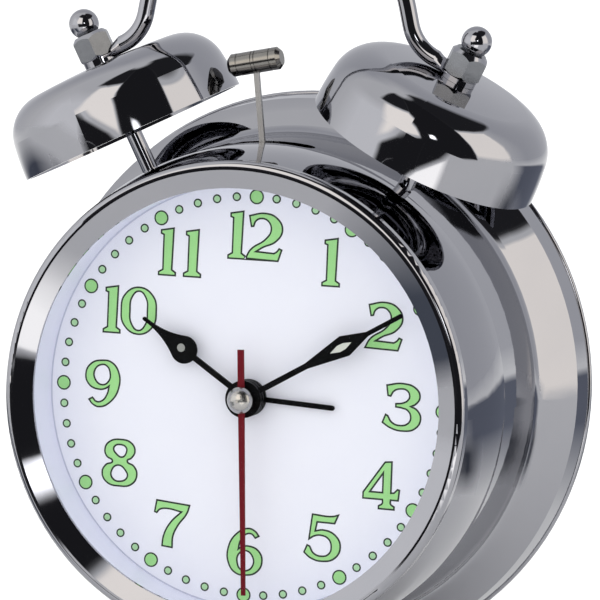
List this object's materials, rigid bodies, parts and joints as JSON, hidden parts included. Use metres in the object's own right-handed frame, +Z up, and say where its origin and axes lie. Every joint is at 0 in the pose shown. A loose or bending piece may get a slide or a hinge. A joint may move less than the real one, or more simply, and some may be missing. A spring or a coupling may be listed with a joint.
{
  "type": "alarm clock",
  "caption": "Analogue alarm clock in polished dark chrome, with bells and a hammer on top, a bent-rod carrying handle, a round white dial and splayed feet.",
  "frame": {"origin": "bottom centre of the bounding box, on the surface the clock stands on", "axes": "+X to the right seen from the front, +Y from the dial to the back, +Z up"},
  "size_m": [0.117, 0.0646, 0.1617],
  "materials": {
    "dark_chrome": "polished black-nickel plate",
    "bright_nickel": "polished nickel plate",
    "steel": "zinc-plated",
    "brass": "turned",
    "clear_lens": "clear, flat",
    "white_plastic": "moulded",
    "dial_white": "matt printed white",
    "hand_black": "semi-gloss black",
    "hand_red": "semi-gloss red",
    "black_plastic": "moulded",
    "copper_wire": "enamelled copper",
    "board_green": "lacquered",
    "battery_wrap": "printed sleeve"
  },
  "bodies": {
    "clock_body": {"case_shell": "dark_chrome", "front_bezel": "dark_chrome", "lens": "clear_lens", "dial_ring": "white_plastic", "dial": "dial_white", "left_bell": "dark_chrome", "right_bell": "dark_chrome", "bell_posts": "dark_chrome", "post_base_nuts": "steel", "ball_nuts": "dark_chrome", "carry_handle": "dark_chrome", "left_foot": "dark_chrome", "right_foot": "dark_chrome", "foot_screws": "steel", "hammer_pivot_pin": "steel", "alarm_bracket": "black_plastic", "alarm_motor": "steel", "movement_front_plate": "black_plastic", "movement_middle_plate": "black_plastic", "movement_rear_plate": "black_plastic", "plate_pillars": "brass", "plate_screws": "steel", "stator": "steel", "coil_core": "steel", "coil_bobbin": "white_plastic", "coil_winding": "copper_wire", "circuit_board": "board_green", "clock_chip": "black_plastic", "quartz_crystal": "steel", "back_cover": "black_plastic", "back_cover_screws": "steel", "battery": "battery_wrap", "battery_contact_plus": "steel", "battery_contact_minus": "steel", "alarm_switch_base": "black_plastic"},
    "second_train": {"second_wheel": "white_plastic", "second_hand": "hand_red", "second_hand_cap": "bright_nickel"},
    "minute_train": {"minute_wheel": "white_plastic", "cannon_pinion": "white_plastic", "minute_hand": "hand_black"},
    "hour_train": {"hour_wheel": "white_plastic", "hour_hand": "hand_black"},
    "motion_train": {"motion_wheel": "white_plastic"},
    "third_train": {"third_wheel": "white_plastic"},
    "step_train": {"step_wheel": "white_plastic"},
    "rotor": {"rotor_pinion": "white_plastic", "rotor_magnet": "steel"},
    "time_setter": {"time_set_shaft": "black_plastic", "time_set_knob": "black_plastic"},
    "alarm_indicator": {"alarm_wheel": "white_plastic", "alarm_hand": "hand_black"},
    "alarm_setter": {"alarm_set_shaft": "black_plastic", "alarm_set_knob": "black_plastic"},
    "hammer": {"hammer_head": "bright_nickel", "hammer_arm": "bright_nickel"},
    "crank": {"crank_gear": "white_plastic"},
    "motor_output": {"motor_pinion": "white_plastic"},
    "battery_hatch": {"battery_door": "black_plastic"},
    "alarm_slider": {"alarm_switch": "black_plastic"}
  },
  "joints": [
    {"name": "second_turn", "type": "hinge", "parent": "clock_body", "child": "second_train", "pos_m": [0, -0.00135, 0.06107], "axis": [0, 0.9942, -0.108], "continuous": true},
    {"name": "minute_turn", "type": "hinge", "parent": "clock_body", "child": "minute_train", "pos_m": [0, -0.00453, 0.06141], "axis": [0, 0.9942, -0.108], "continuous": true},
    {"name": "hour_turn", "type": "hinge", "parent": "clock_body", "child": "hour_train", "pos_m": [0, -0.0095, 0.06195], "axis": [0, 0.9942, -0.108], "continuous": true},
    {"name": "motion_turn", "type": "hinge", "parent": "clock_body", "child": "motion_train", "pos_m": [-0.00866, -0.00737, 0.06675], "axis": [0, 0.9942, -0.108], "continuous": true},
    {"name": "third_turn", "type": "hinge", "parent": "clock_body", "child": "third_train", "pos_m": [-0.00883, -0.00349, 0.05617], "axis": [0, 0.9942, -0.108], "continuous": true},
    {"name": "step_turn", "type": "hinge", "parent": "clock_body", "child": "step_train", "pos_m": [0.0036, -0.00043, 0.0547], "axis": [0, 0.9942, -0.108], "continuous": true},
    {"name": "rotor_turn", "type": "hinge", "parent": "clock_body", "child": "rotor", "pos_m": [0.0106, 0.00116, 0.05452], "axis": [0, 0.9942, -0.108], "continuous": true},
    {"name": "time_set_turn", "type": "hinge", "parent": "clock_body", "child": "time_setter", "pos_m": [-0.01871, 0.02135, 0.06634], "axis": [0, 0.9942, -0.108], "continuous": true},
    {"name": "alarm_turn", "type": "hinge", "parent": "clock_body", "child": "alarm_indicator", "pos_m": [0, -0.01109, 0.06212], "axis": [0, 0.9942, -0.108], "continuous": true},
    {"name": "alarm_set_turn", "type": "hinge", "parent": "clock_body", "child": "alarm_setter", "pos_m": [0.01631, 0.02134, 0.06625], "axis": [0, 0.9942, -0.108], "continuous": true},
    {"name": "hammer_swing", "type": "hinge", "parent": "clock_body", "child": "hammer", "pos_m": [0, -0.00278, 0.0914], "axis": [0, 0.9942, -0.108], "range_deg": [-1.5, 15.35]},
    {"name": "crank_turn", "type": "hinge", "parent": "clock_body", "child": "crank", "pos_m": [0, -0.00083, 0.08344], "axis": [0, 0.9942, -0.108], "continuous": true},
    {"name": "motor_turn", "type": "hinge", "parent": "clock_body", "child": "motor_output", "pos_m": [0.006, -0.00083, 0.08344], "axis": [0, 0.9942, -0.108], "continuous": true},
    {"name": "battery_door_swing", "type": "hinge", "parent": "clock_body", "child": "battery_hatch", "pos_m": [0, 0.01771, 0.02359], "axis": [-1, 0, 0], "range_deg": [0, 80]},
    {"name": "alarm_switch_slide", "type": "slide", "parent": "clock_body", "child": "alarm_slider", "axis": [1, 0, 0], "range_m": [0, 0.006]}
  ],
  "couplings": [
    {"joint": "step_turn", "follows": "second_turn", "ratio": -5},
    {"joint": "rotor_turn", "follows": "second_turn", "ratio": 30},
    {"joint": "third_turn", "follows": "second_turn", "ratio": -0.125},
    {"joint": "minute_turn", "follows": "second_turn", "ratio": 0.016667},
    {"joint": "motion_turn", "follows": "second_turn", "ratio": -0.0041667},
    {"joint": "hour_turn", "follows": "second_turn", "ratio": 0.0013889},
    {"joint": "time_set_turn", "follows": "second_turn", "ratio": 0.013889},
    {"joint": "alarm_turn", "follows": "alarm_set_turn", "ratio": -1},
    {"joint": "motor_turn", "follows": "crank_turn", "ratio": -2}
  ]
}
